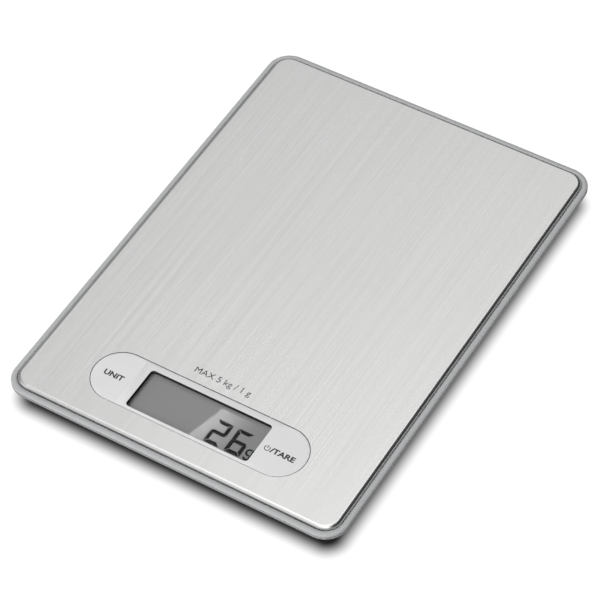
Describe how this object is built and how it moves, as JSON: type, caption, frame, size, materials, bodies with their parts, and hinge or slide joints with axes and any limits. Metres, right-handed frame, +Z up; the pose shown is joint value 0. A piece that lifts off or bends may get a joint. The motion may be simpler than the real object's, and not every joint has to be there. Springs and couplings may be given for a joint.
{
  "type": "digital kitchen scale",
  "caption": "Flat digital kitchen scale with a brushed steel platform, a film-covered display and press keys, load-cell feet and a hinged coin-cell door.",
  "frame": {"origin": "on the table, under the middle of the scale's outline", "axes": "+Z up through the platform, +Y towards the back, away from the display, +X to the right of a user who reads the display"},
  "size_m": [0.16, 0.2196, 0.015],
  "materials": {
    "steel": "brushed along the length, satin",
    "housing": "fine moulded texture, light grey",
    "film": "satin printed film",
    "lens": "clear polished",
    "adhesive": "tacky",
    "display_glass": "polished",
    "polariser": "satin film",
    "reflector": "diffuse metallised film",
    "white_moulding": "as moulded",
    "conductive_rubber": "matt, finely striped",
    "circuit_board": "solder mask",
    "black_resin": "cast resin",
    "plated_steel": "nickel plated",
    "cell_steel": "stamped, zinc plated",
    "gauge_coating": "brushed-on silicone",
    "foot_rubber": "matt",
    "screw_steel": "nickel plated",
    "red_insulation": "satin",
    "black_insulation": "satin",
    "grey_insulation": "satin"
  },
  "bodies": {
    "scale_body": {"steel_platform": "steel", "platform_adhesive": "adhesive", "top_housing": "housing", "bottom_housing": "housing", "overlay_film": "film", "display_lens": "lens", "lcd_front_polariser": "polariser", "lcd_cell": "display_glass", "lcd_reflector": "reflector", "lcd_holder": "white_moulding", "conductive_strip_front": "conductive_rubber", "conductive_strip_back": "conductive_rubber", "main_board": "circuit_board", "controller_blob": "black_resin", "unit_switch_body": "black_resin", "tare_switch_body": "black_resin", "coin_cell": "plated_steel", "battery_positive_contact": "plated_steel", "battery_negative_contact": "plated_steel", "battery_lead_positive": "red_insulation", "battery_lead_negative": "black_insulation", "load_cell_front_left": "cell_steel", "gauge_coat_front_left": "gauge_coating", "load_cell_lead_front_left": "grey_insulation", "housing_screw_front_left": "screw_steel", "load_cell_front_right": "cell_steel", "gauge_coat_front_right": "gauge_coating", "load_cell_lead_front_right": "grey_insulation", "housing_screw_front_right": "screw_steel", "load_cell_back_left": "cell_steel", "gauge_coat_back_left": "gauge_coating", "load_cell_lead_back_left": "grey_insulation", "housing_screw_back_left": "screw_steel", "load_cell_back_right": "cell_steel", "gauge_coat_back_right": "gauge_coating", "load_cell_lead_back_right": "grey_insulation", "housing_screw_back_right": "screw_steel", "housing_screw_front_middle": "screw_steel", "housing_screw_back_middle": "screw_steel", "board_screw_left": "screw_steel", "board_screw_right": "screw_steel"},
    "unit_key": {"unit_key": "white_moulding"},
    "unit_plunger": {"unit_switch_plunger": "white_moulding"},
    "tare_key": {"tare_key": "white_moulding"},
    "tare_plunger": {"tare_switch_plunger": "white_moulding"},
    "battery_door": {"battery_door": "housing"},
    "foot_front_left": {"foot_shell_front_left": "housing", "foot_pad_front_left": "foot_rubber"},
    "foot_front_right": {"foot_shell_front_right": "housing", "foot_pad_front_right": "foot_rubber"},
    "foot_back_left": {"foot_shell_back_left": "housing", "foot_pad_back_left": "foot_rubber"},
    "foot_back_right": {"foot_shell_back_right": "housing", "foot_pad_back_right": "foot_rubber"}
  },
  "joints": [
    {"name": "unit_key_press", "type": "slide", "parent": "scale_body", "child": "unit_key", "axis": [0, 0, -1], "range_m": [0, 0.0003], "stiffness_N_per_m": 3000},
    {"name": "unit_plunger_press", "type": "slide", "parent": "scale_body", "child": "unit_plunger", "axis": [0, 0, -1], "range_m": [0, 0.0003]},
    {"name": "tare_key_press", "type": "slide", "parent": "scale_body", "child": "tare_key", "axis": [0, 0, -1], "range_m": [0, 0.0003], "stiffness_N_per_m": 3000},
    {"name": "tare_plunger_press", "type": "slide", "parent": "scale_body", "child": "tare_plunger", "axis": [0, 0, -1], "range_m": [0, 0.0003]},
    {"name": "foot_front_left_give", "type": "slide", "parent": "scale_body", "child": "foot_front_left", "axis": [0, 0, 1], "range_m": [0, 0.0003], "stiffness_N_per_m": 40000},
    {"name": "foot_front_right_give", "type": "slide", "parent": "scale_body", "child": "foot_front_right", "axis": [0, 0, 1], "range_m": [0, 0.0003], "stiffness_N_per_m": 40000},
    {"name": "foot_back_left_give", "type": "slide", "parent": "scale_body", "child": "foot_back_left", "axis": [0, 0, 1], "range_m": [0, 0.0003], "stiffness_N_per_m": 40000},
    {"name": "foot_back_right_give", "type": "slide", "parent": "scale_body", "child": "foot_back_right", "axis": [0, 0, 1], "range_m": [0, 0.0003], "stiffness_N_per_m": 40000},
    {"name": "battery_door_hinge", "type": "hinge", "parent": "scale_body", "child": "battery_door", "pos_m": [0, 0.044, 0.003], "axis": [1, 0, 0], "range_deg": [0, 80]}
  ],
  "couplings": [
    {"joint": "unit_plunger_press", "follows": "unit_key_press", "ratio": 1},
    {"joint": "tare_plunger_press", "follows": "tare_key_press", "ratio": 1}
  ]
}
